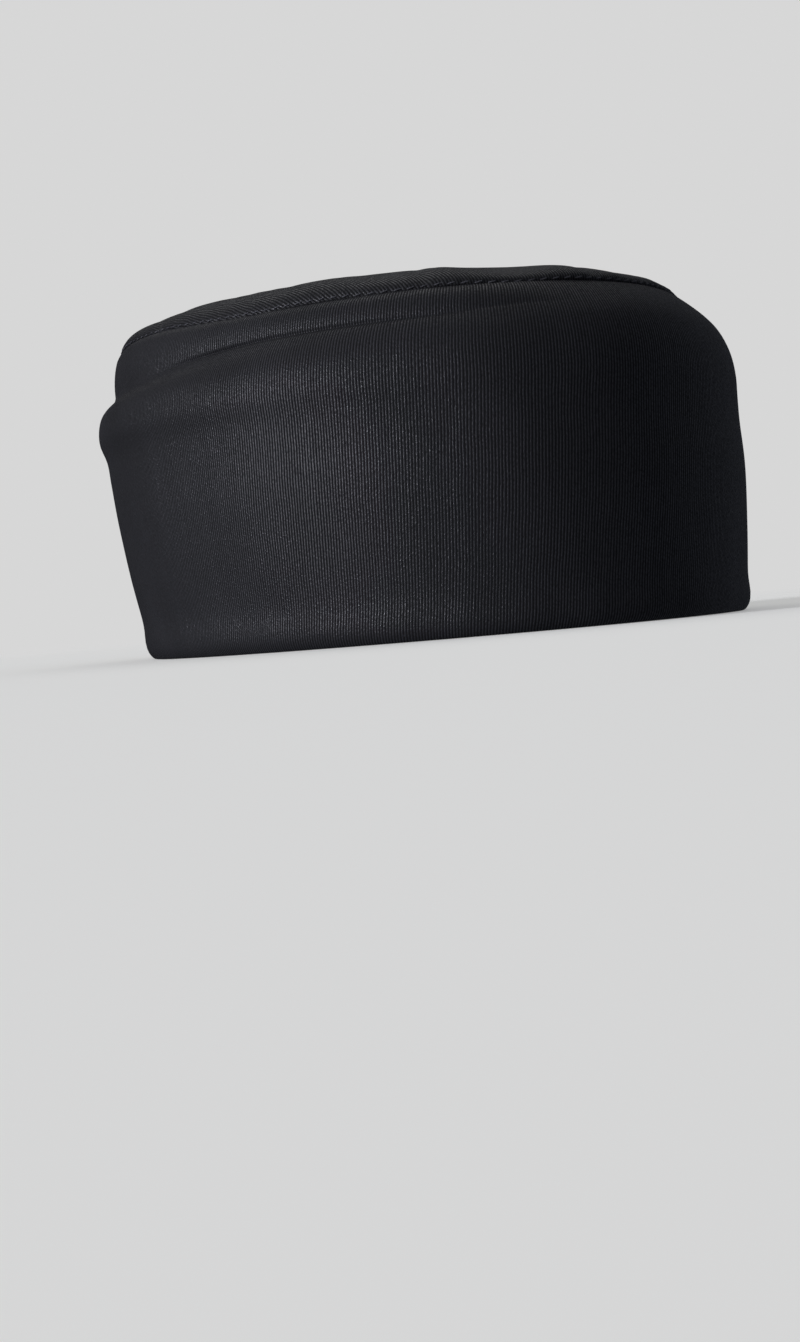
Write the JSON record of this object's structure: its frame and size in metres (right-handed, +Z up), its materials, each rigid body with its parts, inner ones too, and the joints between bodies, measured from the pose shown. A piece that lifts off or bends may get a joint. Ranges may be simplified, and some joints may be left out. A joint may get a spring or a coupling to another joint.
{
  "type": "kufi cap",
  "caption": "Soft brimless oval cap with a tall folded side band, a crease under its crown seam and a puffed oval top, open below to take a head.",
  "frame": {"origin": "middle of the cap's outline, on the plane of the rim that it stands on", "axes": "+Z up through the crown top, +Y from the front of the cap to the back, +X towards the wearer's left"},
  "size_m": [0.1786, 0.214, 0.1002],
  "materials": {
    "band_twill": "matte ribbed twill",
    "crown_twill": "matte ribbed twill"
  },
  "bodies": {
    "root": {"band": "band_twill", "crown_top": "crown_twill"}
  },
  "joints": []
}
